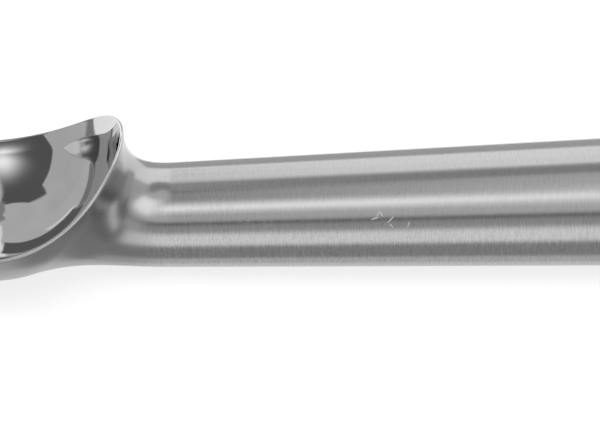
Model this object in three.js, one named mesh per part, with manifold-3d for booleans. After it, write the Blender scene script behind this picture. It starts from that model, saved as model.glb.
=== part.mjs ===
// Ice cream scoop with a liquid-filled handle, in millimetres, +Z up.
// It lies as it does on a table: the bowl's underside and the handle's underside both touch z = 0,
// and +X runs from the bowl to the end of the handle.
import * as THREE from "three";
import { LoftGeometry } from "three/addons/geometries/LoftGeometry.js";
import { mergeVertices } from "three/addons/utils/BufferGeometryUtils.js";
import Module from "manifold-3d";

const { degToRad, lerp } = THREE.MathUtils;

// Bowl: a thin round shell whose rim dips at the sides and rises in front and behind.
const BOWL_RADIUS = 28.6; // outside
const BOWL_WALL = 1.4;
const RIM_LOW = 15.5; // height of the rim where it dips
const RIM_LOW_FORWARD = 2.6; // the dip lies this far in front of the bowl's centre
const RIM_SWEEP = 33.5; // radius of the rim's arc, seen from the side
const RIM_PEAK = 35; // height that the arc levels off at
const RIM_PEAK_ROUND = 12; // difference in height over which it levels off
const RIM_EASE = 0.6; // the wall gets this much thinner towards the rim, on the inside
const RIM_EASE_LENGTH = 4.5;

// Neck: the blend between the round bowl and the round handle.
const NECK_LENGTH = 12; // from the back of the bowl to the joint
const NECK_DROP = degToRad(39); // the neck leaves the bowl this far below level
const NECK_SPREAD = degToRad(42.5); // half angle of the neck's round root on the bowl
const NECK_TIGHT_TOP = 0.7; // share of each tangent that the blend follows, above
const NECK_TIGHT_BOTTOM = 0.4; // and below

// Handle: a straight taper outside, a drafted bore inside, stepped seats at its end.
const HANDLE_LENGTH = 114; // from the joint to the end face
const HANDLE_NECK_RADIUS = 11.5;
const HANDLE_END_RADIUS = 14.5;
const HANDLE_END_ROUND = 2;
const HANDLE_WALL = 2.1; // at the joint
const BORE_DRAFT = degToRad(0.6);
const PLUG_SEAT_STEP = 1; // from the bore out to the plug's seat
const PLUG_SEAT_DEPTH = 19; // from the end face
const CAP_SEAT_STEP = 0.8; // from the plug's seat out to the cap's seat
const CAP_SEAT_DEPTH = 5;

// Joint between head and handle.
const SPIGOT_LENGTH = 14;
const SPIGOT_WALL = 1.8;
const SPIGOT_CHAMFER = 0.8;
const WELD_WIDTH = 3; // of the dressed bead, along the handle
const WELD_DEPTH = 1.3;

// Liquid chamber, which runs on through the spigot into a pocket in the neck.
const POCKET_DEPTH = 13; // from the joint towards the bowl
const AIR_DEPTH = 3.5; // of the air pocket above the liquid, at the high end

// Closure at the end of the handle.
const PLUG_THICKNESS = 8;
const SEAL_RADIUS = 0.9; // of the section of each O-ring
const SEAL_SPACING = 3.6; // between the two O-rings on the plug
const RING_THICKNESS = 1.2; // retaining ring
const RING_REACH = 0.8; // of its groove into the handle's wall
const RING_WIDTH = 2.2;
const RING_GAP_ANGLE = degToRad(36); // open part of the ring
const RING_LUG_RADIUS = 1.7;
const RING_EYE_RADIUS = 0.8; // hole in each lug
const SCREW_RADIUS = 2.5; // of the fill screw's shank
const SCREW_HEAD_RADIUS = 4.2;
const SCREW_HEAD_HEIGHT = 2.6;
const SCREW_SOCKET_RADIUS = 1.7; // across the corners of its hexagon socket
const SCREW_SOCKET_DEPTH = 1.5;
const SCREW_SOCKET_SIDES = 6;
const WASHER_THICKNESS = 0.8;
const CAP_PROUD = 0.8; // height of the cap's flat land beyond the end face
const CAP_LAND_RADIUS = 8;
const CAP_FACE = 2.2; // metal behind the end face
const CAP_SKIRT = 1.4; // metal between its O-ring groove and the hollow inside

const FIT_GAP = 0.2; // clearance left between pieces that fit together

// Steps round and along the curved surfaces.
const HEAD_STEPS = 60;
const TURN_STEPS = 48;
const INNER_STEPS = 32;
const SMALL_STEPS = 24;
const SEAL_STEPS = 8;
const ARC_STEPS = 5;
const POCKET_ROWS = 5;
const NECK_ROWS = 10;
const OUTSIDE_ROWS = 12;
const LIP_ROWS = 5;
const INSIDE_ROWS = 18;
const SLOPE_STEP = 0.01; // over which the rim's slope is measured
const HALVINGS = 40; // of the interval in which the rim is found

const wasm = await Module();
wasm.setup();

// Handle frame: its x axis is the handle's own axis, which starts at the joint and climbs by the
// half angle of the taper, so that the underside of the handle lies flat on the table.
const tilt = Math.atan2(HANDLE_END_RADIUS - HANDLE_NECK_RADIUS, HANDLE_LENGTH);
const handle = new THREE.Group();
handle.position.set(BOWL_RADIUS + NECK_LENGTH, 0, HANDLE_NECK_RADIUS * Math.cos(tilt));
handle.rotation.y = -tilt;
handle.updateMatrix();

const outsideRadius = (along) => HANDLE_NECK_RADIUS + along * Math.tan(tilt);
const boreRadius = (along) => HANDLE_NECK_RADIUS - HANDLE_WALL + along * Math.tan(BORE_DRAFT);
const spigotRadius = (along) => boreRadius(along) - FIT_GAP;

// Places along the handle's axis.
const shoulder = HANDLE_LENGTH - PLUG_SEAT_DEPTH;
const plugFront = shoulder + FIT_GAP;
const plugBack = plugFront + PLUG_THICKNESS;
const ringFront = plugBack + FIT_GAP;
const ringBack = ringFront + RING_THICKNESS;
const washerFront = plugBack + FIT_GAP;
const screwHeadFront = washerFront + WASHER_THICKNESS + FIT_GAP;
const capFront = HANDLE_LENGTH - CAP_SEAT_DEPTH + FIT_GAP;

// Radii that neighbouring pieces share.
const pocketRadius = spigotRadius(0) - SPIGOT_WALL;
const weldRootRadius = HANDLE_NECK_RADIUS - WELD_DEPTH;
const plugSeatRadius = boreRadius(shoulder) + PLUG_SEAT_STEP;
const ringGrooveRadius = plugSeatRadius + RING_REACH;
const capSeatRadius = plugSeatRadius + CAP_SEAT_STEP;

// Shared shape helpers.

// A piece turned about the handle's axis, with a facet underneath. Its [along, radius] points run
// from front to back over the outside.
function turned(points, steps = TURN_STEPS) {
  const profile = points.map(([along, radius]) => new THREE.Vector2(radius, along));
  return new THREE.LatheGeometry(profile, steps, Math.PI / steps).rotateZ(-Math.PI / 2);
}

// Points of a quarter circle in a turned profile, from one corner angle to another.
function arcPoints(along, radius, bend, from, to) {
  return Array.from({ length: ARC_STEPS + 1 }, (_, i) => {
    const angle = lerp(from, to, i / ARC_STEPS);
    return [along + bend * Math.cos(angle), radius + bend * Math.sin(angle)];
  });
}

// An O-ring's groove in a turned profile, for a ring that seals against the seat's wall.
const grooveFloor = (seatRadius) => seatRadius - 2 * (SEAL_RADIUS + FIT_GAP);

function sealGroove(along, pieceRadius, seatRadius) {
  const half = SEAL_RADIUS + FIT_GAP;
  const floor = grooveFloor(seatRadius);
  return [
    [along - half, pieceRadius],
    [along - half, floor],
    [along + half, floor],
    [along + half, pieceRadius],
  ];
}

function sealRing(along, seatRadius) {
  const middle = seatRadius - FIT_GAP - SEAL_RADIUS;
  return new THREE.TorusGeometry(middle, SEAL_RADIUS, SEAL_STEPS, INNER_STEPS)
    .rotateY(Math.PI / 2)
    .translate(along, 0, 0);
}

// A round bar along the handle's axis.
function bar(radius, front, back, steps = SMALL_STEPS) {
  return new THREE.CylinderGeometry(radius, radius, back - front, steps)
    .rotateZ(Math.PI / 2)
    .translate((front + back) / 2, 0, 0);
}

function toSolid(geometry) {
  const bare = geometry.clone();
  bare.deleteAttribute("normal");
  bare.deleteAttribute("uv");
  const merged = mergeVertices(bare);
  return new wasm.Manifold(
    new wasm.Mesh({
      numProp: 3,
      vertProperties: new Float32Array(merged.attributes.position.array),
      triVerts: new Uint32Array(merged.index.array),
    }),
  );
}

function toGeometry(solid) {
  const mesh = solid.getMesh();
  const geometry = new THREE.BufferGeometry();
  geometry.setAttribute("position", new THREE.BufferAttribute(mesh.vertProperties, 3));
  geometry.setIndex(new THREE.BufferAttribute(mesh.triVerts, 1));
  geometry.computeVertexNormals();
  return geometry;
}

// Scoop head. Its skin is one run of rings: the pocket in the neck, the spigot, the joint, the
// blend, the outside of the bowl, the rounded lip and the inside of the bowl.

// A point round the handle's axis, with angle 0 on top.
function onHandle(along, radius, angle) {
  const point = new THREE.Vector3(along, radius * Math.sin(angle), radius * Math.cos(angle));
  return point.applyMatrix4(handle.matrix);
}

// Directions of the bowl seen from its centre: the neck's middle, and up and across from there.
const bowlCentre = new THREE.Vector3(0, 0, BOWL_RADIUS);
const toNeck = new THREE.Vector3(Math.cos(NECK_DROP), 0, -Math.sin(NECK_DROP));
const upFromNeck = new THREE.Vector3(Math.sin(NECK_DROP), 0, Math.cos(NECK_DROP));
const acrossNeck = new THREE.Vector3(0, 1, 0);

function outFromNeck(angle) {
  return new THREE.Vector3()
    .addScaledVector(upFromNeck, Math.cos(angle))
    .addScaledVector(acrossNeck, Math.sin(angle));
}

// Direction at a spread away from the middle of the neck, at an angle round it.
function bowlDirection(spread, angle) {
  return new THREE.Vector3()
    .addScaledVector(toNeck, Math.cos(spread))
    .addScaledVector(outFromNeck(angle), Math.sin(spread));
}

function onBowl(radius, spread, angle) {
  return bowlDirection(spread, angle).multiplyScalar(radius).add(bowlCentre);
}

// The middle of the rounded lip lies half its thickness below the rim's top. In side view it
// follows an arc that levels off smoothly at the peak.
const lipRadius = (BOWL_WALL - RIM_EASE) / 2;

function lipHeight(x) {
  const drop = (RIM_SWEEP + lipRadius) ** 2 - (x + RIM_LOW_FORWARD) ** 2;
  const arc = RIM_LOW + RIM_SWEEP - Math.sqrt(Math.max(drop, 0));
  const peak = RIM_PEAK - lipRadius;
  const near = Math.max(RIM_PEAK_ROUND - Math.abs(arc - peak), 0);
  return Math.min(arc, peak) - near ** 2 / (4 * RIM_PEAK_ROUND);
}

function lipSlope(x) {
  return (lipHeight(x + SLOPE_STEP) - lipHeight(x - SLOPE_STEP)) / (2 * SLOPE_STEP);
}

// Spread at which the middle of the lip meets its arc, by halving the interval.
function lipSpread(angle) {
  let below = NECK_SPREAD;
  let above = Math.PI - NECK_SPREAD;
  for (let i = 0; i < HALVINGS; i++) {
    const spread = (below + above) / 2;
    const point = onBowl(BOWL_RADIUS - lipRadius, spread, angle);
    if (point.z < lipHeight(point.x)) below = spread;
    else above = spread;
  }
  return below;
}

// A point of the lip, which turns from the outside of the wall to the inside.
function onLip(spread, angle, turn) {
  const outward = bowlDirection(spread, angle);
  const middle = onBowl(BOWL_RADIUS - lipRadius, spread, angle);
  const upward = new THREE.Vector3(-lipSlope(middle.x), 0, 1).projectOnPlane(outward).normalize();
  return middle
    .addScaledVector(outward, lipRadius * Math.cos(turn))
    .addScaledVector(upward, lipRadius * Math.sin(turn));
}

// A point inside the bowl, at a share of the way from its floor to the rim. The wall thins towards
// the rim.
function insideBowl(rim, angle, share) {
  const inside = BOWL_RADIUS - BOWL_WALL;
  const below = rim * (1 - share) * inside;
  const ease = RIM_EASE * Math.max(1 - below / RIM_EASE_LENGTH, 0) ** 2;
  return onBowl(inside + ease, rim * share, angle);
}

// The blend's curve from the joint to the bowl, along the handle at one end and along the bowl
// at the other, sharper on top than below.
function neckCurve(angle) {
  const atHandle = onHandle(-WELD_WIDTH / 2, outsideRadius(-WELD_WIDTH / 2), angle);
  const further = onHandle(-WELD_WIDTH, outsideRadius(-WELD_WIDTH), angle);
  const alongHandle = further.sub(atHandle).normalize();
  const atBowl = onBowl(BOWL_RADIUS, NECK_SPREAD, angle);
  const alongBowl = toNeck.clone()
    .multiplyScalar(Math.sin(NECK_SPREAD))
    .addScaledVector(outFromNeck(angle), -Math.cos(NECK_SPREAD));
  const span = atBowl.clone().sub(atHandle);
  const tight = lerp(NECK_TIGHT_BOTTOM, NECK_TIGHT_TOP, (1 + Math.cos(angle)) / 2);
  return new THREE.CubicBezierCurve3(
    atHandle,
    atHandle.clone().addScaledVector(alongHandle, tight * span.dot(alongHandle)),
    atBowl.clone().addScaledVector(alongBowl, -tight * span.dot(alongBowl)),
    atBowl,
  );
}

// The turned part of the head, from the tip of the pocket to the edge of the weld groove.
function spigotProfile() {
  const pocket = Array.from({ length: POCKET_ROWS + 1 }, (_, i) => {
    const turn = (i / POCKET_ROWS) * (Math.PI / 2);
    const along = -POCKET_DEPTH + pocketRadius * (1 - Math.cos(turn));
    return [along, pocketRadius * Math.sin(turn)];
  });
  const face = -FIT_GAP / 2;
  const chamferStart = SPIGOT_LENGTH - SPIGOT_CHAMFER;
  return [
    ...pocket,
    [SPIGOT_LENGTH, pocketRadius],
    [SPIGOT_LENGTH, spigotRadius(SPIGOT_LENGTH) - SPIGOT_CHAMFER],
    [chamferStart, spigotRadius(chamferStart)],
    [face, spigotRadius(face)],
    [face, weldRootRadius],
    [-WELD_WIDTH / 2, outsideRadius(-WELD_WIDTH / 2)],
  ];
}

function scoopHead() {
  const step = (2 * Math.PI) / HEAD_STEPS;
  const angles = Array.from({ length: HEAD_STEPS }, (_, i) => (i + 0.5) * step);
  const rims = angles.map(lipSpread);
  const curves = angles.map(neckCurve);
  const rings = spigotProfile().map(([along, radius]) =>
    angles.map((angle) => onHandle(along, radius, angle)),
  );
  for (let i = 1; i <= NECK_ROWS; i++) {
    rings.push(curves.map((curve) => curve.getPoint(i / NECK_ROWS)));
  }
  for (let i = 1; i <= OUTSIDE_ROWS; i++) {
    const share = i / OUTSIDE_ROWS;
    rings.push(angles.map((a, k) => onBowl(BOWL_RADIUS, lerp(NECK_SPREAD, rims[k], share), a)));
  }
  for (let i = 1; i <= LIP_ROWS; i++) {
    const turn = (i / LIP_ROWS) * Math.PI;
    rings.push(angles.map((a, k) => onLip(rims[k], a, turn)));
  }
  for (let i = 1; i <= INSIDE_ROWS; i++) {
    const share = 1 - (i / INSIDE_ROWS) ** 2;
    rings.push(angles.map((a, k) => insideBowl(rims[k], a, share)));
  }
  return new LoftGeometry(rings);
}

// Handle sleeve, with its seats for the spigot, the plug, the retaining ring and the cap.
function handleSleeve() {
  const face = FIT_GAP / 2;
  const ledge = HANDLE_LENGTH - CAP_SEAT_DEPTH;
  const roundStart = HANDLE_LENGTH - HANDLE_END_ROUND;
  const roundMiddle = outsideRadius(roundStart) - HANDLE_END_ROUND;
  return turned([
    [WELD_WIDTH / 2, outsideRadius(WELD_WIDTH / 2)],
    ...arcPoints(roundStart, roundMiddle, HANDLE_END_ROUND, Math.PI / 2, 0),
    [HANDLE_LENGTH, capSeatRadius],
    [ledge, capSeatRadius],
    [ledge, plugSeatRadius],
    [ringBack + FIT_GAP, plugSeatRadius],
    [ringBack + FIT_GAP, ringGrooveRadius],
    [ringFront - FIT_GAP, ringGrooveRadius],
    [ringFront - FIT_GAP, plugSeatRadius],
    [shoulder, plugSeatRadius],
    [shoulder, boreRadius(shoulder)],
    [face, boreRadius(face)],
    [face, weldRootRadius],
    [WELD_WIDTH / 2, outsideRadius(WELD_WIDTH / 2)],
  ]);
}

// Weld bead: a V-shaped ring, dressed flush with the handle.
function weldBead() {
  const half = WELD_WIDTH / 2 - FIT_GAP;
  return turned([
    [0, weldRootRadius],
    [-half, outsideRadius(-half)],
    [half, outsideRadius(half)],
    [0, weldRootRadius],
  ]);
}

// Liquid filling: it takes up the whole chamber except the air pocket, and its free surface is
// level while the scoop lies on the table.
function liquid() {
  const tip = pocketRadius - FIT_GAP;
  const tipMiddle = -POCKET_DEPTH + pocketRadius;
  const step = SPIGOT_LENGTH + FIT_GAP;
  const filling = turned([
    ...arcPoints(tipMiddle, 0, tip, Math.PI, Math.PI / 2),
    [step, tip],
    [step, boreRadius(step) - FIT_GAP],
    [shoulder, boreRadius(shoulder) - FIT_GAP],
    [shoulder, 0],
  ]);
  const level = onHandle(shoulder, boreRadius(shoulder), 0).z - AIR_DEPTH;
  const air = new THREE.BoxGeometry(2 * HANDLE_LENGTH, 2 * HANDLE_END_RADIUS, HANDLE_END_RADIUS)
    .translate(handle.position.x + HANDLE_LENGTH / 2, 0, level + HANDLE_END_RADIUS / 2)
    .applyMatrix4(handle.matrix.clone().invert());
  return toGeometry(toSolid(filling).subtract(toSolid(air)));
}

// Closure: plug with two seals, fill screw, retaining ring and end cap.
const plugMiddle = (plugFront + plugBack) / 2;
const innerSealAlong = plugMiddle - SEAL_SPACING / 2;
const outerSealAlong = plugMiddle + SEAL_SPACING / 2;
const capSealAlong = capFront + CAP_SEAT_DEPTH / 2;

function sealingPlug() {
  const radius = plugSeatRadius - FIT_GAP;
  const hole = SCREW_RADIUS + FIT_GAP;
  return turned([
    [plugFront, hole],
    [plugFront, radius],
    ...sealGroove(innerSealAlong, radius, plugSeatRadius),
    ...sealGroove(outerSealAlong, radius, plugSeatRadius),
    [plugBack, radius],
    [plugBack, hole],
    [plugFront, hole],
  ], INNER_STEPS);
}

function fillScrew() {
  const top = screwHeadFront + SCREW_HEAD_HEIGHT;
  const body = turned([
    [plugFront, 0],
    [plugFront, SCREW_RADIUS],
    [screwHeadFront, SCREW_RADIUS],
    [screwHeadFront, SCREW_HEAD_RADIUS],
    [top, SCREW_HEAD_RADIUS],
    [top, 0],
  ], SMALL_STEPS);
  const socket = bar(
    SCREW_SOCKET_RADIUS,
    top - SCREW_SOCKET_DEPTH,
    top + SCREW_SOCKET_DEPTH,
    SCREW_SOCKET_SIDES,
  );
  return toGeometry(toSolid(body).subtract(toSolid(socket)));
}

function fillScrewWasher() {
  const back = washerFront + WASHER_THICKNESS;
  return turned([
    [washerFront, SCREW_RADIUS + FIT_GAP],
    [washerFront, SCREW_HEAD_RADIUS],
    [back, SCREW_HEAD_RADIUS],
    [back, SCREW_RADIUS + FIT_GAP],
    [washerFront, SCREW_RADIUS + FIT_GAP],
  ], SMALL_STEPS);
}

// An open ring with a drilled lug at each end. Its opening faces down.
function retainingRing() {
  const outer = ringGrooveRadius - FIT_GAP;
  const inner = outer - RING_WIDTH;
  const start = RING_GAP_ANGLE / 2;
  const outline = new THREE.Shape();
  outline.absarc(0, 0, outer, start, 2 * Math.PI - start, false);
  outline.absarc(0, 0, inner, 2 * Math.PI - start, start, true);
  const band = new THREE.ExtrudeGeometry(outline, {
    depth: RING_THICKNESS,
    bevelEnabled: false,
    curveSegments: SMALL_STEPS,
  });
  let solid = toSolid(band.rotateY(Math.PI / 2).translate(ringFront, 0, 0));
  for (const side of [-1, 1]) {
    const y = side * inner * Math.sin(start);
    const z = -inner * Math.cos(start);
    const lug = bar(RING_LUG_RADIUS, ringFront, ringBack).translate(0, y, z);
    const eye = bar(RING_EYE_RADIUS, ringFront - FIT_GAP, ringBack + FIT_GAP).translate(0, y, z);
    solid = solid.add(toSolid(lug)).subtract(toSolid(eye));
  }
  return toGeometry(solid);
}

function endCap() {
  const radius = capSeatRadius - FIT_GAP;
  const hollow = grooveFloor(capSeatRadius) - CAP_SKIRT;
  const floor = HANDLE_LENGTH - CAP_FACE;
  return turned([
    [floor, 0],
    [floor, hollow],
    [capFront, hollow],
    [capFront, radius],
    ...sealGroove(capSealAlong, radius, capSeatRadius),
    [HANDLE_LENGTH, radius],
    [HANDLE_LENGTH + CAP_PROUD, CAP_LAND_RADIUS],
    [HANDLE_LENGTH + CAP_PROUD, 0],
  ]);
}

// Finishes.
const metal = (color, roughness) =>
  new THREE.MeshStandardMaterial({ color, roughness, metalness: 1 });
const plain = (color, roughness) =>
  new THREE.MeshStandardMaterial({ color, roughness, metalness: 0 });
const polished = metal(0xc6c6c7, 0.12);
const brushed = metal(0xb4b4b5, 0.34);
const turnedFace = metal(0xb4b4b5, 0.3);
const machined = metal(0xa9aaab, 0.4);
const stainless = metal(0x9a9b9d, 0.3);
const springSteel = metal(0x77787a, 0.35);
const rubber = plain(0x1d1d1e, 0.6);
const clearLiquid = plain(0xbcd8e4, 0.1);

function piece(name, geometry, material) {
  const mesh = new THREE.Mesh(geometry, material);
  mesh.name = name;
  return mesh;
}

// Assembly. Everything but the head lies about the handle's axis.
handle.add(
  piece("handle_sleeve", handleSleeve(), brushed),
  piece("neck_weld_bead", weldBead(), brushed),
  piece("heat_transfer_fluid", liquid(), clearLiquid),
  piece("sealing_plug", sealingPlug(), machined),
  piece("plug_o_ring_inner", sealRing(innerSealAlong, plugSeatRadius), rubber),
  piece("plug_o_ring_outer", sealRing(outerSealAlong, plugSeatRadius), rubber),
  piece("fill_screw", fillScrew(), stainless),
  piece("fill_screw_washer", fillScrewWasher(), rubber),
  piece("retaining_ring", retainingRing(), springSteel),
  piece("end_cap", endCap(), turnedFace),
  piece("end_cap_o_ring", sealRing(capSealAlong, capSeatRadius), rubber),
);

const assembly = new THREE.Group();
assembly.add(piece("scoop_head", scoopHead(), polished), handle);

// The origin is the point of the table under the middle of the scoop's length.
const extent = new THREE.Box3().setFromObject(assembly, true);
assembly.position.x = -(extent.min.x + extent.max.x) / 2;

const scoop = new THREE.Group();
scoop.add(assembly);

export default scoop;
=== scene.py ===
import math

import bmesh
import bpy
import numpy as np
from mathutils import Matrix, Vector


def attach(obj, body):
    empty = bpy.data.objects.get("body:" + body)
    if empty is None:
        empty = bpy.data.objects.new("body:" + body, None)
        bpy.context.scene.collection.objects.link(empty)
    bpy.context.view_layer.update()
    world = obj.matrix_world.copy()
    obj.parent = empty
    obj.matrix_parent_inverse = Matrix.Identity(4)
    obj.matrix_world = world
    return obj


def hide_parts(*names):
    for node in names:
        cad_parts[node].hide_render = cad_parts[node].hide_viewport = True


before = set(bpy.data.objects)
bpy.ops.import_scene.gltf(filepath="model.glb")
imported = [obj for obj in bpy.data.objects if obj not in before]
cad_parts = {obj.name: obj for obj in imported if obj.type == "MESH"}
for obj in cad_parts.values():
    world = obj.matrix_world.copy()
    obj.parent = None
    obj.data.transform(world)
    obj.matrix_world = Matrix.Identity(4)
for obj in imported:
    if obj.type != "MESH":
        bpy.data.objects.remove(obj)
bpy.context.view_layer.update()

MM = 0.001

# Bowl: a thin round shell whose rim dips at the sides and rises in front and behind.
BOWL_CENTRE = np.array([-63.542, 0, 28.6]) * MM
BOWL_RADIUS = 28.6 * MM  # outside
BOWL_WALL = 1.4 * MM
RIM_LOW = 15.5 * MM  # height of the rim where it dips
RIM_LOW_FORWARD = 2.6 * MM  # the dip lies this far in front of the bowl's centre
RIM_SWEEP = 33.5 * MM  # radius of the rim's arc, seen from the side
RIM_PEAK = 35 * MM  # height that the arc levels off at
RIM_PEAK_ROUND = 12 * MM  # difference in height over which it levels off
RIM_EASE = 0.6 * MM  # the wall gets this much thinner towards the rim, on the inside
RIM_EASE_LENGTH = 4.5 * MM
LIP_RADIUS = (BOWL_WALL - RIM_EASE) / 2  # of the rounded lip

# Neck: the blend between the round bowl and the round handle.
NECK_LENGTH = 12 * MM
NECK_DROP = math.radians(39)  # the neck leaves the bowl this far below level
NECK_SPREAD = math.radians(42.5)  # half angle of the neck's round root on the bowl
NECK_TIGHT_TOP = 0.7  # share of each tangent that the blend follows, above
NECK_TIGHT_BOTTOM = 0.4  # and below

# Handle: a straight taper outside, a drafted bore inside, stepped seats at its end.
HANDLE_LENGTH = 114 * MM
HANDLE_NECK_RADIUS = 11.5 * MM
HANDLE_END_RADIUS = 14.5 * MM
HANDLE_END_ROUND = 2 * MM
HANDLE_WALL = 2.1 * MM
BORE_DRAFT = math.radians(0.6)
PLUG_SEAT_STEP = 1 * MM
PLUG_SEAT_DEPTH = 19 * MM
CAP_SEAT_STEP = 0.8 * MM
CAP_SEAT_DEPTH = 5 * MM
RING_GROOVE = (105.2 * MM, 106.8 * MM)  # from and to, along the handle
RING_REACH = 0.8 * MM

# Joint between head and handle.
SPIGOT_LENGTH = 14 * MM
SPIGOT_WALL = 1.8 * MM
SPIGOT_CHAMFER = 0.8 * MM
WELD_WIDTH = 3 * MM
WELD_DEPTH = 1.3 * MM
POCKET_DEPTH = 13 * MM
FIT_GAP = 0.2 * MM
DRESSED_GAP = 0.01 * MM  # what is left of it where the weld is dressed flush

# End cap.
CAP_PROUD = 0.8 * MM
CAP_LAND_RADIUS = 8 * MM
CAP_FACE = 2.2 * MM
CAP_SKIRT = 1.4 * MM
SEAL_RADIUS = 0.9 * MM

# Steps round and along the fine surfaces.
HEAD_STEPS = 256
TURN_STEPS = 192
ARC_STEPS = 12
POCKET_ROWS = 8
NECK_ROWS = 56
OUTSIDE_ROWS = 64
LIP_ROWS = 14
INSIDE_ROWS = 72
HALVINGS = 40  # of the interval in which the rim is found
SLOPE_STEP = 0.01 * MM  # over which the rim's slope is measured
MERGE_DISTANCE = 0.001 * MM  # points of a surface that lie closer than this become one
SHARP_EDGE = math.radians(30)  # edges that turn by more than this are shaded sharp

# Handle frame: its axis starts at the joint and climbs by the half angle of the taper.
TILT = math.atan2(HANDLE_END_RADIUS - HANDLE_NECK_RADIUS, HANDLE_LENGTH)
HANDLE_START = np.array(
    [BOWL_CENTRE[0] + BOWL_RADIUS + NECK_LENGTH, 0, HANDLE_NECK_RADIUS * math.cos(TILT)]
)
SHOULDER = HANDLE_LENGTH - PLUG_SEAT_DEPTH


def outside_radius(along):
    return HANDLE_NECK_RADIUS + along * math.tan(TILT)


def bore_radius(along):
    return HANDLE_NECK_RADIUS - HANDLE_WALL + along * math.tan(BORE_DRAFT)


WELD_ROOT_RADIUS = HANDLE_NECK_RADIUS - WELD_DEPTH
PLUG_SEAT_RADIUS = bore_radius(SHOULDER) + PLUG_SEAT_STEP
CAP_SEAT_RADIUS = PLUG_SEAT_RADIUS + CAP_SEAT_STEP


# Nodes.


class Value:
    """A number that varies over a surface: an output socket with Python's operators."""

    def __init__(self, nodes, socket):
        self.nodes = nodes
        self.socket = socket

    def maths(self, operation, *values, clamp=False):
        settings = {"operation": operation, "use_clamp": clamp}
        return self.nodes.add("ShaderNodeMath", settings, dict(enumerate(values))).value()

    def __add__(self, other):
        return self.maths("ADD", self, other)

    def __radd__(self, other):
        return self.maths("ADD", other, self)

    def __sub__(self, other):
        return self.maths("SUBTRACT", self, other)

    def __rsub__(self, other):
        return self.maths("SUBTRACT", other, self)

    def __mul__(self, other):
        return self.maths("MULTIPLY", self, other)

    def __rmul__(self, other):
        return self.maths("MULTIPLY", other, self)

    def __truediv__(self, other):
        return self.maths("DIVIDE", self, other)

    def __gt__(self, other):
        return self.maths("GREATER_THAN", self, other)

    def rounded(self):
        return self.maths("ROUND", self)


class Added:
    """A node that was added to a tree."""

    def __init__(self, nodes, node):
        self.nodes = nodes
        self.node = node

    def value(self, output=0):
        return Value(self.nodes, self.node.outputs[output])


class Nodes:
    """Adds nodes to a tree."""

    def __init__(self, tree):
        self.tree = tree

    def add(self, kind, settings=None, sockets=None):
        node = self.tree.nodes.new(kind)
        for name, value in (settings or {}).items():
            setattr(node, name, value)
        for name, value in (sockets or {}).items():
            self.feed(node.inputs[name], value)
        return Added(self, node)

    def ramp(self, value, start, end):
        """Rises softly from 0 at the start to 1 at the end."""
        settings = {"interpolation_type": "SMOOTHSTEP"}
        sockets = {"Value": value, "From Min": start, "From Max": end}
        return self.add("ShaderNodeMapRange", settings, sockets).value()

    def feed(self, socket, value):
        if isinstance(value, Added):
            value = value.value()
        if isinstance(value, Value):
            self.tree.links.new(value.socket, socket)
        else:
            socket.default_value = value


# Fine surfaces.


def new_object(name, data):
    """An object that is linked to the scene."""
    made = bpy.data.objects.new(name, data)
    bpy.context.collection.objects.link(made)
    return made


def on_handle(along, radius, angle):
    """Points round the handle's axis, with angle 0 on top."""
    across = radius * np.sin(angle)
    height = radius * np.cos(angle)
    x = along * math.cos(TILT) - height * math.sin(TILT)
    z = along * math.sin(TILT) + height * math.cos(TILT)
    return HANDLE_START + np.stack([x, across, z], axis=-1)


TO_NECK = np.array([math.cos(NECK_DROP), 0, -math.sin(NECK_DROP)])
UP_FROM_NECK = np.array([math.sin(NECK_DROP), 0, math.cos(NECK_DROP)])
ACROSS_NECK = np.array([0, 1, 0])


def out_from_neck(angle):
    return np.outer(np.cos(angle), UP_FROM_NECK) + np.outer(np.sin(angle), ACROSS_NECK)


def bowl_direction(spread, angle):
    """Directions from the bowl's centre, at a spread away from the middle of the neck."""
    spread = np.broadcast_to(spread, angle.shape)[:, None]
    return np.cos(spread) * TO_NECK + np.sin(spread) * out_from_neck(angle)


def on_bowl(radius, spread, angle):
    return BOWL_CENTRE + radius * bowl_direction(spread, angle)


def lip_height(x):
    """Height of the middle of the rounded lip: an arc that levels off at the peak."""
    forward = x - BOWL_CENTRE[0] + RIM_LOW_FORWARD
    drop = np.maximum((RIM_SWEEP + LIP_RADIUS) ** 2 - forward**2, 0)
    arc = RIM_LOW + RIM_SWEEP - np.sqrt(drop)
    peak = RIM_PEAK - LIP_RADIUS
    near = np.maximum(RIM_PEAK_ROUND - np.abs(arc - peak), 0)
    return np.minimum(arc, peak) - near**2 / (4 * RIM_PEAK_ROUND)


def lip_spread(angle):
    """Spread at which the middle of the lip meets its arc, by halving the interval."""
    below = np.full(angle.shape, NECK_SPREAD)
    above = np.full(angle.shape, math.pi - NECK_SPREAD)
    for _ in range(HALVINGS):
        spread = (below + above) / 2
        point = on_bowl(BOWL_RADIUS - LIP_RADIUS, spread, angle)
        under = point[:, 2] < lip_height(point[:, 0])
        below = np.where(under, spread, below)
        above = np.where(under, above, spread)
    return below


def unit(vectors):
    return vectors / np.linalg.norm(vectors, axis=1, keepdims=True)


def lip_ring(spread, angle, turn):
    """A ring of the lip, which turns from the outside of the wall to the inside."""
    outward = bowl_direction(spread, angle)
    middle = on_bowl(BOWL_RADIUS - LIP_RADIUS, spread, angle)
    x = middle[:, 0]
    slope = (lip_height(x + SLOPE_STEP) - lip_height(x - SLOPE_STEP)) / (2 * SLOPE_STEP)
    upward = np.stack([-slope, np.zeros_like(slope), np.ones_like(slope)], axis=1)
    upward = unit(upward - np.sum(upward * outward, axis=1, keepdims=True) * outward)
    return middle + LIP_RADIUS * (math.cos(turn) * outward + math.sin(turn) * upward)


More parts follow.
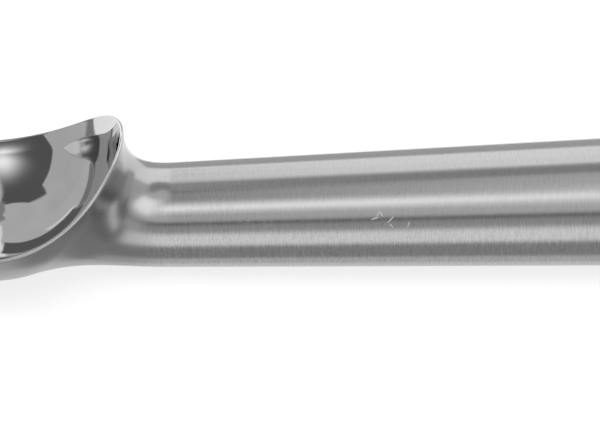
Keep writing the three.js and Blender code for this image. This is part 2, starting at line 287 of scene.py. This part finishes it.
def inside_ring(rim, angle, share):
    """A ring inside the bowl, at a share of the way from its floor to the rim."""
    radius = BOWL_RADIUS - BOWL_WALL
    below = rim * (1 - share) * radius
    ease = RIM_EASE * np.maximum(1 - below / RIM_EASE_LENGTH, 0) ** 2
    return on_bowl((radius + ease)[:, None], rim * share, angle)


def neck_rings(angle):
    """The blend from the joint to the bowl, sharper on top than below."""
    start = -WELD_WIDTH / 2
    at_handle = on_handle(start, outside_radius(start), angle)
    along_handle = unit(on_handle(2 * start, outside_radius(2 * start), angle) - at_handle)
    at_bowl = on_bowl(BOWL_RADIUS, NECK_SPREAD, angle)
    along_bowl = math.sin(NECK_SPREAD) * TO_NECK - math.cos(NECK_SPREAD) * out_from_neck(angle)
    span = at_bowl - at_handle
    tight = NECK_TIGHT_BOTTOM + (NECK_TIGHT_TOP - NECK_TIGHT_BOTTOM) * (1 + np.cos(angle)) / 2
    reach_handle = tight * np.sum(span * along_handle, axis=1)
    reach_bowl = tight * np.sum(span * along_bowl, axis=1)
    near = at_handle + reach_handle[:, None] * along_handle
    far = at_bowl - reach_bowl[:, None] * along_bowl
    rings = []
    for share in np.linspace(0, 1, NECK_ROWS + 1):
        rest = 1 - share
        rings.append(
            rest**3 * at_handle
            + 3 * rest**2 * share * near
            + 3 * rest * share**2 * far
            + share**3 * at_bowl
        )
    return rings


def spigot_section():
    """The turned part of the head, from the tip of the pocket to the bottom of the weld."""
    pocket_radius = bore_radius(0) - FIT_GAP - SPIGOT_WALL
    pocket = [
        (-POCKET_DEPTH + pocket_radius * (1 - math.cos(turn)), pocket_radius * math.sin(turn))
        for turn in np.linspace(0, math.pi / 2, POCKET_ROWS)
    ]
    face = -FIT_GAP / 2
    chamfer = SPIGOT_LENGTH - SPIGOT_CHAMFER
    return [
        *pocket,
        (SPIGOT_LENGTH, pocket_radius),
        (SPIGOT_LENGTH, bore_radius(SPIGOT_LENGTH) - FIT_GAP - SPIGOT_CHAMFER),
        (chamfer, bore_radius(chamfer) - FIT_GAP),
        (face, bore_radius(face) - FIT_GAP),
        (face, WELD_ROOT_RADIUS),
    ]


def head_surface():
    angle = np.linspace(0, 2 * math.pi, HEAD_STEPS, endpoint=False)
    rim = lip_spread(angle)
    rings = [on_handle(along, radius, angle) for along, radius in spigot_section()]
    rings += neck_rings(angle)
    for share in np.linspace(0, 1, OUTSIDE_ROWS + 1)[1:]:
        rings.append(on_bowl(BOWL_RADIUS, NECK_SPREAD + (rim - NECK_SPREAD) * share, angle))
    for turn in np.linspace(0, math.pi, LIP_ROWS + 1)[1:]:
        rings.append(lip_ring(rim, angle, turn))
    for share in np.linspace(0, 1, INSIDE_ROWS + 1)[1:]:
        rings.append(inside_ring(rim, angle, 1 - share**2))
    return np.stack(rings)


def skin(name, rings):
    """Joins rings of points to one closed surface. Rings without width close to a point."""
    rows, steps = rings.shape[:2]
    here = np.arange(rows * steps).reshape(rows, steps)
    beside = np.roll(here, -1, axis=1)
    faces = np.stack([here[:-1], here[1:], beside[1:], beside[:-1]], axis=-1).reshape(-1, 4)
    mesh = bpy.data.meshes.new(name)
    mesh.from_pydata(rings.reshape(-1, 3).tolist(), [], faces.tolist())
    shape = bmesh.new()
    shape.from_mesh(mesh)
    bmesh.ops.remove_doubles(shape, verts=shape.verts, dist=MERGE_DISTANCE)
    bmesh.ops.recalc_face_normals(shape, faces=shape.faces)
    shape.to_mesh(mesh)
    shape.free()
    mesh.shade_smooth()
    mesh.set_sharp_from_angle(angle=SHARP_EDGE)
    return new_object(name, mesh)


# Turned pieces. A section is a row of (along, radius) points in the handle's frame.


def turning_tree():
    """Turns a section, whose points lie at (along, 0, radius), about the handle's axis."""
    tree = bpy.data.node_groups.new("turn a section", "GeometryNodeTree")
    for name, kind in (
        ("Section", "Geometry"),
        ("Points", "Int"),
        ("Steps", "Int"),
        ("Sharp edge", "Float"),
        ("Tilt", "Float"),
        ("Start", "Vector"),
        ("Finish", "Material"),
    ):
        tree.interface.new_socket(name, in_out="INPUT", socket_type="NodeSocket" + kind)
    tree.interface.new_socket("Piece", in_out="OUTPUT", socket_type="NodeSocketGeometry")
    nodes = Nodes(tree)
    given = nodes.add("NodeGroupInput")
    points = given.value("Points")
    steps = given.value("Steps")
    grid = nodes.add(
        "GeometryNodeMeshGrid",
        sockets={"Size X": 1.0, "Size Y": 1.0, "Vertices X": steps + 1, "Vertices Y": points},
    )
    place = nodes.add("ShaderNodeSeparateXYZ", sockets={0: nodes.add("GeometryNodeInputPosition")})
    row = ((place.value("Y") + 0.5) * (points - 1)).rounded()
    section = nodes.add(
        "GeometryNodeSampleIndex",
        {"data_type": "FLOAT_VECTOR"},
        {
            "Geometry": given.value("Section"),
            "Value": nodes.add("GeometryNodeInputPosition"),
            "Index": row,
        },
    )
    turned = nodes.add(
        "ShaderNodeVectorRotate",
        {"rotation_type": "X_AXIS"},
        {"Vector": section, "Angle": place.value("X") * (2 * math.pi)},
    )
    surface = nodes.add("GeometryNodeSetPosition", sockets={"Geometry": grid, "Position": turned})
    closed = nodes.add(
        "GeometryNodeMergeByDistance", sockets={"Geometry": surface, "Distance": MERGE_DISTANCE}
    )
    smooth = nodes.add("GeometryNodeSetShadeSmooth", {"domain": "FACE"}, {0: closed})
    corner = nodes.add("GeometryNodeInputMeshEdgeAngle").value("Unsigned Angle")
    edged = nodes.add(
        "GeometryNodeSetShadeSmooth",
        {"domain": "EDGE"},
        {0: smooth, "Selection": corner > given.value("Sharp edge"), "Shade Smooth": False},
    )
    tipped = nodes.add("ShaderNodeCombineXYZ", sockets={"Y": 0 - given.value("Tilt")})
    placed = nodes.add(
        "GeometryNodeTransform",
        sockets={"Geometry": edged, "Translation": given.value("Start"), "Rotation": tipped},
    )
    single = nodes.add("GeometryNodeRealizeInstances", sockets={"Geometry": placed})
    finished = nodes.add(
        "GeometryNodeSetMaterial",
        sockets={"Geometry": single, "Material": given.value("Finish")},
    )
    nodes.add("NodeGroupOutput", sockets={"Piece": finished})
    return tree


def turned_piece(name, tree, section, finish):
    """A plain mesh, turned from a section by the tree."""
    outline = bpy.data.meshes.new(name + " section")
    outline.from_pydata([(along, 0, radius) for along, radius in section], [], [])
    blank = new_object(name + " blank", outline)
    turning = blank.modifiers.new("turning", "NODES")
    turning.node_group = tree
    sizes = {
        "Points": len(section),
        "Steps": TURN_STEPS,
        "Sharp edge": SHARP_EDGE,
        "Tilt": TILT,
        "Start": HANDLE_START.tolist(),
        "Finish": finish,
    }
    for item in tree.interface.items_tree:
        if item.name in sizes:
            turning[item.identifier] = sizes[item.name]
    evaluated = blank.evaluated_get(bpy.context.evaluated_depsgraph_get())
    mesh = bpy.data.meshes.new_from_object(evaluated)
    mesh.name = name
    bpy.data.objects.remove(blank)
    return new_object(name, mesh)


def arc_points(along, radius, bend, start, end):
    """Points of an arc in a section, from one corner angle to another."""
    return [
        (along + bend * math.cos(turn), radius + bend * math.sin(turn))
        for turn in np.linspace(start, end, ARC_STEPS + 1)
    ]


def sleeve_section():
    face = FIT_GAP / 2
    joint = WELD_WIDTH / 2
    ledge = HANDLE_LENGTH - CAP_SEAT_DEPTH
    round_start = HANDLE_LENGTH - HANDLE_END_ROUND
    round_middle = outside_radius(round_start) - HANDLE_END_ROUND
    taper_end = round_start - HANDLE_END_ROUND  # up to here the shading is that of the taper
    ring_radius = PLUG_SEAT_RADIUS + RING_REACH
    return [
        (joint, outside_radius(joint)),
        (taper_end, outside_radius(taper_end)),
        *arc_points(round_start, round_middle, HANDLE_END_ROUND, math.pi / 2, 0),
        (HANDLE_LENGTH, CAP_SEAT_RADIUS),
        (ledge, CAP_SEAT_RADIUS),
        (ledge, PLUG_SEAT_RADIUS),
        (RING_GROOVE[1], PLUG_SEAT_RADIUS),
        (RING_GROOVE[1], ring_radius),
        (RING_GROOVE[0], ring_radius),
        (RING_GROOVE[0], PLUG_SEAT_RADIUS),
        (SHOULDER, PLUG_SEAT_RADIUS),
        (SHOULDER, bore_radius(SHOULDER)),
        (face, bore_radius(face)),
        (face, WELD_ROOT_RADIUS),
        (joint, outside_radius(joint)),
    ]


def weld_section():
    half = WELD_WIDTH / 2 - DRESSED_GAP
    return [
        (0, WELD_ROOT_RADIUS),
        (-half, outside_radius(-half)),
        (half, outside_radius(half)),
        (0, WELD_ROOT_RADIUS),
    ]


def cap_section():
    radius = CAP_SEAT_RADIUS - FIT_GAP
    groove = SEAL_RADIUS + FIT_GAP
    groove_floor = CAP_SEAT_RADIUS - 2 * groove
    front = HANDLE_LENGTH - CAP_SEAT_DEPTH + FIT_GAP
    groove_middle = front + CAP_SEAT_DEPTH / 2
    hollow = groove_floor - CAP_SKIRT
    floor = HANDLE_LENGTH - CAP_FACE
    land = HANDLE_LENGTH + CAP_PROUD
    return [
        (floor, 0),
        (floor, hollow),
        (front, hollow),
        (front, radius),
        (groove_middle - groove, radius),
        (groove_middle - groove, groove_floor),
        (groove_middle + groove, groove_floor),
        (groove_middle + groove, radius),
        (HANDLE_LENGTH, radius),
        (land, CAP_LAND_RADIUS),
        (land, 0),
    ]


# Camera, at the photograph's angle.
PICTURE = (600, 438)  # pixels
CAMERA_TARGET = Vector((2.762, 0, 10.038)) * MM  # in the middle of the picture
CAMERA_DISTANCE = 1.2
CAMERA_ELEVATION = 0.5592
CAMERA_ROLL = -0.0076
PIXELS_PER_MM = 4.6  # at the target


def photograph_camera():
    camera = bpy.data.cameras.new("camera")
    camera.sensor_fit = "HORIZONTAL"
    width = PICTURE[0] / PIXELS_PER_MM * MM
    camera.lens = camera.sensor_width * CAMERA_DISTANCE / width
    back = Vector((0, -math.cos(CAMERA_ELEVATION), math.sin(CAMERA_ELEVATION)))
    right = Vector((1, 0, 0))
    axes = Matrix((right, back.cross(right), back)).transposed()
    stand = new_object("camera", camera)
    stand.matrix_world = (
        Matrix.Translation(CAMERA_TARGET + CAMERA_DISTANCE * back)
        @ axes.to_4x4()
        @ Matrix.Rotation(CAMERA_ROLL, 4, "Z")
    )
    bpy.context.scene.camera = stand


# Finishes. Patterns follow Object coordinates, which are the part's own frame.


class Finish:
    """A material with one Principled shader, whose inputs are set by name."""

    def __init__(self, name, constants):
        self.material = bpy.data.materials.new(name)
        self.material.use_nodes = True
        self.nodes = Nodes(self.material.node_tree)
        self.shader = self.material.node_tree.nodes["Principled BSDF"]
        for socket, value in constants.items():
            self.set(socket, value)

    def set(self, socket, value):
        self.nodes.feed(self.shader.inputs[socket], value)

    def mapped(self, place, centre=(0, 0, 0), turn=(0, 0, 0), lengths=(1, 1, 1)):
        """A place measured from a centre, along turned axes, in units of three lengths."""
        sockets = {"Vector": place, "Location": centre, "Rotation": turn, "Scale": lengths}
        return self.nodes.add("ShaderNodeMapping", {"vector_type": "TEXTURE"}, sockets).value()

    def from_bowl(self):
        """Coordinates from the bowl's centre."""
        place = self.nodes.add("ShaderNodeTexCoord").value("Object")
        return self.mapped(place, BOWL_CENTRE.tolist())

    def from_joint(self):
        """Coordinates in the handle's frame: along its axis, across, and up."""
        place = self.nodes.add("ShaderNodeTexCoord").value("Object")
        return self.mapped(place, HANDLE_START.tolist(), (0, -TILT, 0))

    def part(self, place, axis):
        """How far a place lies along one axis."""
        return self.nodes.add("ShaderNodeSeparateXYZ", sockets={0: place}).value(axis)

    def length(self, place):
        settings = {"operation": "LENGTH"}
        return self.nodes.add("ShaderNodeVectorMath", settings, {0: place}).value("Value")

    def noise(self, place, lengths, turn=(0, 0, 0), detail=2.0):
        """Soft random values about 0.5, whose spots have three lengths in mm along turned axes."""
        spots = self.mapped(place, turn=turn, lengths=[length * MM for length in lengths])
        sockets = {"Vector": spots, "Scale": 1.0, "Detail": detail}
        return self.nodes.add("ShaderNodeTexNoise", sockets=sockets).value("Fac")

    def lines(self, place, lengths, turn=(0, 0, 0), width=0.02):
        """Thin lines where a noise crosses its middle."""
        off = self.noise(place, lengths, turn, 0.0) - 0.5
        return 1 - self.nodes.ramp(off.maths("ABSOLUTE", off), 0, width)

    def blend(self, share, first, second):
        """A colour between two."""
        sockets = {"Factor": share, 6: first, 7: second}
        return self.nodes.add("ShaderNodeMix", {"data_type": "RGBA"}, sockets).value(2)

    def dressed(self, colour, roughness, height, depth):
        """The material, given what varies over its surface. The depth is that of a height of 1."""
        self.set("Base Color", colour)
        self.set("Roughness", roughness)
        sockets = {"Height": height, "Distance": depth, "Strength": 1.0}
        self.set("Normal", self.nodes.add("ShaderNodeBump", sockets=sockets).value("Normal"))
        return self.material


METAL = {"Metallic": 1.0}
BRUSH_DEPTH = 0.012 * MM  # of the belt marks, and of the waves in the head's polish
BRUSH_WORN = 0.7  # share of the marks that is gone on top of the handle
BRUSH_WORN_HEIGHTS = (-2 * MM, 8 * MM)  # above its axis: where the wear starts and where it is full
BRUSH_FADE = (-13 * MM, -2 * MM)  # along the neck: where the marks start and where they are full


class Brushing:
    """Fine belt marks and pits round the handle, worn on top and fading out on the neck."""

    def __init__(self, finish):
        self.place = finish.from_joint()
        up = finish.part(self.place, "Z")
        kept = 1 - BRUSH_WORN * finish.nodes.ramp(up, *BRUSH_WORN_HEIGHTS)
        belt = finish.noise(self.place, (0.25, 2.5, 2.5), detail=3.0)
        pits = finish.noise(self.place, (0.35, 0.8, 0.8))
        marks = 0.9 * belt + 0.6 * pits - 0.75  # about 0
        patches = finish.noise(self.place, (20, 9, 9))
        self.height = 0.5 + kept * marks
        self.shade = 0.39 + 0.38 * self.height
        self.roughness = 0.08 + 0.12 * self.height + 0.04 * patches


# A nicked spot on the handle's side: its place, how far it is turned from the top, and its nicks.
# Each nick runs from one place of the spot to another, along and up, in mm.
NICKS_PLACE = (45 * MM, -11.7 * MM, 5 * MM)
NICKS_TURN = math.radians(67)
NICK_WIDTH = 0.3 * MM
NICK_REACH = 3 * MM  # into the handle
NICK_CORE = 0.6  # share of a nick's width that has its full strength
NICKS = (
    ((-4.1, -0.5), (-2, 0.1)),
    ((-2.7, 0), (-1.9, 1.6)),
    ((-2, 1.6), (-1.2, 0)),
    ((-0.6, -1.5), (1.3, 0.4)),
    ((0.1, -1.4), (0.8, -2.4)),
    ((4.4, -0.9), (3.8, -2.8)),
)


def nick(finish, spot, start, end):
    """A short scratch between two places of a spot."""
    middle = [(first + last) / 2 * MM for first, last in zip(start, end)]
    run = [last - first for first, last in zip(start, end)]
    lengths = (math.hypot(*run) / 2 * MM, NICK_WIDTH / 2, NICK_REACH)
    place = finish.mapped(spot, (*middle, 0), (0, 0, math.atan2(run[1], run[0])), lengths)
    return 1 - finish.nodes.ramp(finish.length(place), NICK_CORE, 1)


def satin_handle():
    """Metal that was belt polished round the handle, with a nicked spot and fine marks from use."""
    finish = Finish("satin handle", METAL)
    brushing = Brushing(finish)
    place = brushing.place
    spot = finish.mapped(place, NICKS_PLACE, (NICKS_TURN, 0, 0))
    nicks = sum(nick(finish, spot, start, end) for start, end in NICKS)
    worn = finish.nodes.ramp(finish.noise(place, (15, 8, 8)), 0.55, 0.75)
    marks = finish.lines(place, (3, 0.9, 0.9), turn=(0, 0.5, 0.6), width=0.006) * worn
    return finish.dressed(
        brushing.shade + 0.42 * nicks + 0.1 * marks,
        brushing.roughness + 0.4 * nicks + 0.05 * marks,
        brushing.height - nicks - marks,
        BRUSH_DEPTH,
    )


def polished_head():
    """Mirror polish inside, a painted highlight on the rim, a rougher polish outside painted darker as
    shade, belt marks at the handle.
    """
    finish = Finish("polished head", METAL)
    place = finish.from_bowl()
    brushing = Brushing(finish)
    from_centre = finish.length(place)
    lip_middle = BOWL_RADIUS - LIP_RADIUS
    outside = finish.nodes.ramp(from_centre, lip_middle, BOWL_RADIUS)
    # Painted highlight: the rounded lip gets a lighter base colour.
    rim = finish.nodes.ramp(from_centre, lip_middle - LIP_RADIUS, lip_middle) - outside
    brushed = finish.nodes.ramp(finish.part(brushing.place, "X"), *BRUSH_FADE) * outside
    polished = 1 - brushed
    clouds = finish.noise(place, (7, 7, 7), detail=4.0)
    hairs = finish.lines(place, (0.6, 9, 0.6), turn=(0.2, 0.3, 0.4), width=0.004)
    # Painted shade: the outside of the bowl and neck gets a darker base colour, so that it mirrors
    # darker.
    shade = 0.55 + 0.28 * rim - 0.12 * outside + 0.11 * clouds + 0.03 * hairs
    roughness = 0.03 + 0.2 * outside + 0.04 * clouds + 0.03 * hairs
    return finish.dressed(
        polished * shade + brushed * brushing.shade,
        polished * roughness + brushed * brushing.roughness,
        brushed * brushing.height + polished * clouds,
        BRUSH_DEPTH,
    )


# Depths of the other reliefs: lathe rings, the steel's coat, the rubber's skin, the liquid's streaks.
CUT_DEPTH = 0.01 * MM
COAT_DEPTH = 0.01 * MM
SKIN_DEPTH = 0.02 * MM
STREAK_DEPTH = 0.02 * MM


def turned_metal(name, level, roughness, pitch):
    """Metal from the lathe, with rings round the handle's axis, their pitch in mm, and a few stains."""
    finish = Finish(name, METAL)
    place = finish.from_joint()
    sideways = finish.nodes.add(
        "ShaderNodeVectorMath", {"operation": "MULTIPLY"}, {0: place, 1: (0, 1, 1)}
    )
    rings = finish.nodes.add(
        "ShaderNodeCombineXYZ",
        sockets={"X": finish.length(sideways), "Y": finish.part(place, "X")},
    )
    cut = finish.noise(rings, (pitch, pitch, 1))
    stains = finish.noise(place, (5, 5, 5), detail=5.0)
    return finish.dressed(
        level * (0.86 + 0.16 * cut + 0.12 * stains),
        roughness * (0.6 + 0.5 * cut + 0.3 * stains),
        cut,
        CUT_DEPTH,
    )


def phosphated_steel():
    """Dark spring steel with a crystalline coat, rubbed bright in places."""
    finish = Finish("phosphated steel", METAL)
    place = finish.from_joint()
    grains = finish.noise(place, (0.12, 0.12, 0.12), detail=3.0)
    rubbed = finish.nodes.ramp(finish.noise(place, (3, 3, 3), detail=4.0), 0.55, 0.7)
    return finish.dressed(
        0.2 + 0.12 * grains + 0.25 * rubbed,
        0.5 + 0.2 * grains - 0.25 * rubbed,
        grains,
        COAT_DEPTH,
    )


def seal_rubber():
    """Matt black rubber with a fine skin and pale dust."""
    finish = Finish("seal rubber", {"Specular IOR Level": 0.4})
    place = finish.from_joint()
    skin_grain = finish.noise(place, (0.15, 0.15, 0.15), detail=3.0)
    dust = finish.nodes.ramp(finish.noise(place, (1.2, 1.2, 1.2), detail=4.0), 0.5, 0.8)
    return finish.dressed(
        0.014 + 0.012 * skin_grain + 0.02 * dust,
        0.5 + 0.2 * skin_grain + 0.1 * dust,
        skin_grain,
        SKIN_DEPTH,
    )


LIQUID_COLOURS = ((0.56, 0.73, 0.8, 1), (0.7, 0.82, 0.86, 1))
LIQUID_REFRACTION = 1.36  # between that of water and that of glycol


def clear_liquid():
    """Clear blue liquid with slight streaks."""
    finish = Finish("clear liquid", {"Transmission Weight": 1.0, "IOR": LIQUID_REFRACTION})
    place = finish.from_joint()
    streaks = finish.noise(place, (20, 4, 4), detail=3.0)
    colour = finish.blend(streaks, *LIQUID_COLOURS)
    return finish.dressed(colour, 0.02 + 0.04 * streaks, streaks, STREAK_DEPTH)


# Studio: a light tent whose panels the metal reflects. Azimuth 0 is the camera's side, -90 the
# bowl's end and 90 the handle's end. Angles are in degrees.
DEGREES = 180 / math.pi  # in a radian
ALL_ROUND = (-200, 200)
BASE_BRIGHTNESS = 0.27  # where no panel lies


class Studio:
    """The world's brightness, built up from panels that lie over each other."""

    def __init__(self, nodes, base):
        self.nodes = nodes
        direction = nodes.add("ShaderNodeTexCoord").value("Generated")
        parts = nodes.add("ShaderNodeSeparateXYZ", sockets={0: direction})
        x, y, z = (parts.value(name) for name in "XYZ")
        self.azimuth = x.maths("ARCTAN2", x, 0 - y) * DEGREES
        self.elevation = z.maths("ARCSINE", z) * DEGREES
        self.light = base

    def turn_from(self, azimuth):
        """Angle from an azimuth to the direction's own, between -180 and 180."""
        turn = self.azimuth - azimuth
        return turn.maths("WRAP", turn, 180, -180)

    def edge(self, angle, start, soft):
        """0 before the start and 1 after it."""
        return self.nodes.ramp(angle, start - soft / 2, start + soft / 2)

    def panel(self, azimuths, elevations, brightness, soft, climb=0, lean=0):
        """Lays a panel over what is there. It may run past 180, climb, or lean to one side."""
        turn = self.turn_from(sum(azimuths) / 2)
        width = azimuths[1] - azimuths[0]
        height = self.elevation - climb * turn
        aside = turn - lean * (self.elevation - sum(elevations) / 2)
        cover = 1 - self.edge(aside.maths("ABSOLUTE", aside), width / 2, soft)
        cover = cover * self.edge(height, elevations[0], soft)
        cover = cover * (1 - self.edge(height, elevations[1], soft))
        self.light = cover * brightness + (1 - cover) * self.light

    def glow(self, azimuth, elevation, spread, brightness, lowest, soft):
        """Adds a round glow with a straight lower edge."""
        across = self.turn_from(azimuth) / spread[0]
        up = (self.elevation - elevation) / spread[1]
        away = across * across + up * up
        fall = away.maths("EXPONENT", 0 - away)
        self.light = self.light + brightness * fall * self.edge(self.elevation, lowest, soft)


def studio_light():
    world = bpy.data.worlds.new("studio")
    bpy.context.scene.world = world
    world.use_nodes = True
    world.node_tree.nodes.clear()
    nodes = Nodes(world.node_tree)
    studio = Studio(nodes, BASE_BRIGHTNESS)
    # At the table's level and below it.
    studio.panel(ALL_ROUND, (-78, -38), 0.31, 10)
    studio.panel(ALL_ROUND, (-120, -80), 0.58, 10)
    studio.panel((154, 206), (-80, -20), 0.72, 16)
    studio.panel((154, 206), (-40, -9), 1.2, 10)
    studio.panel((-30, 60), (-14, 5), 0.38, 8)
    studio.panel((-30, 22), (-42, -12), 0.92, 14)
    # Tent walls, roof and back.
    studio.panel(ALL_ROUND, (22, 75), 0.55, 14)
    studio.panel(ALL_ROUND, (75, 120), 0.3, 10)
    studio.panel((140, 220), (-5, 27), 0.48, 6)
    studio.panel((124, 162), (-30, 28), 1.0, 8)
    studio.panel((112, 190), (27, 71), 1.05, 3)
    studio.panel((-171, -90), (-3, 76), 0.61, 3)
    studio.panel((-190, -166), (54, 72), 1.0, 3, lean=0.45)
    # Greys low on the right, which the neck shows.
    studio.panel((38, 115), (-52, -36), 0.2, 8)
    studio.panel((40, 98), (-31, -15), 0.75, 8)
    studio.panel((8, 34), (-8, 6), 0.55, 8)
    studio.panel((40, 70), (-9, 16), 0.2, 8)
    studio.panel((72, 120), (2, 24), 0.48, 10)
    # Dark front on the left, and the bright front on the right, which glows into it.
    studio.panel((-88, 8), (8, 80), 0.12, 4)
    studio.panel((-150, -79), (56, 81.5), 0.6, 2, lean=1.35)
    studio.panel((-35, 40), (53, 110), 0.6, 12, climb=-0.8)
    studio.panel((-106, -62), (0, 46), 0.58, 2, lean=-0.5)
    studio.panel((-10, 60), (14, 36), 0.6, 9)
    studio.glow(-9, 42.5, (21, 14), 1.2, lowest=35, soft=16)
    studio.panel((6, 48), (27, 61), 1.3, 14)
    # A bright sheet low on the left, and a dark strip over it that ends in a bright edge.
    studio.panel((-155, -106), (-40, -5), 1.1, 4)
    studio.panel((-165, -122), (-10, 15.4), 1.1, 2, climb=-0.6)
    studio.panel((-175.6, -121.2), (19, 38.5), 0.13, 2, climb=-0.6, lean=0.35)
    studio.panel((-127, -105), (-3, 10.5), 0.25, 2, climb=-0.7)
    studio.panel((-137, -122), (27, 31), 0.93, 2, climb=-1.0)
    background = nodes.add("ShaderNodeBackground", sockets={"Color": studio.light})
    nodes.add("ShaderNodeOutputWorld", sockets={"Surface": background})


# Table: a white top that is lit from below too, so that shadows on it are faint.
TABLE_COLOUR = (0.25, 0.25, 0.25, 1)
TABLE_ROUGHNESS = 0.9
TABLE_GLOW = 0.8
TABLE_REACH = 10  # from its middle to its edges


def light_table():
    mesh = bpy.data.meshes.new("table")
    corners = [(x * TABLE_REACH, y * TABLE_REACH, 0) for x, y in ((-1, -1), (1, -1), (1, 1), (-1, 1))]
    mesh.from_pydata(corners, [], [(0, 1, 2, 3)])
    top = new_object("table", mesh)
    top.visible_glossy = False
    paint = Finish(
        "table white",
        {
            "Base Color": TABLE_COLOUR,
            "Roughness": TABLE_ROUGHNESS,
            "Specular IOR Level": 0.0,
            "Emission Color": (1, 1, 1, 1),
            "Emission Strength": TABLE_GLOW,
        },
    )
    mesh.materials.append(paint.material)


# Lamp: a wide, soft sun that the metal doesn't mirror.
SUN_STRENGTH = 2.2
SUN_WIDTH = math.radians(60)
SUN_TILT = math.radians(10)  # from overhead to the camera's side


def overhead_lamp():
    sun = bpy.data.lights.new("overhead", "SUN")
    sun.energy = SUN_STRENGTH
    sun.angle = SUN_WIDTH
    stand = new_object("overhead", sun)
    stand.rotation_euler = (SUN_TILT, 0, 0)
    stand.visible_glossy = False


photograph_camera()
studio_light()
light_table()
overhead_lamp()

# Pieces with fine surfaces, each in place of its solid.
satin = satin_handle()
turning = turning_tree()
head = skin("polished_head", head_surface())
head.data.materials.append(polished_head())
sleeve = turned_piece("brushed_handle", turning, sleeve_section(), satin)
weld = turned_piece("dressed_weld", turning, weld_section(), satin)
lathe_cap = turned_metal("turned end cap", level=0.78, roughness=0.24, pitch=0.3)
cap = turned_piece("turned_end_cap", turning, cap_section(), lathe_cap)
for piece, node, slot in (
    (head, "scoop_head", "polished_aluminium"),
    (sleeve, "handle_sleeve", "brushed_aluminium"),
    (weld, "neck_weld_bead", "brushed_aluminium"),
    (cap, "end_cap", "turned_aluminium"),
):
    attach(piece, "root")
    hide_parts(node)

# Pieces inside the handle, which keep their solids.
rubber = seal_rubber()
for node, finish in (
    ("heat_transfer_fluid", clear_liquid()),
    ("sealing_plug", turned_metal("machined plug", level=0.7, roughness=0.35, pitch=0.4)),
    ("plug_o_ring_inner", rubber),
    ("plug_o_ring_outer", rubber),
    ("fill_screw", turned_metal("bright screw", level=0.62, roughness=0.28, pitch=0.25)),
    ("fill_screw_washer", rubber),
    ("retaining_ring", phosphated_steel()),
    ("end_cap_o_ring", rubber),
):
    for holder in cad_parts[node].material_slots:
        holder.material = finish

bpy.context.scene.view_settings.view_transform = "Standard"
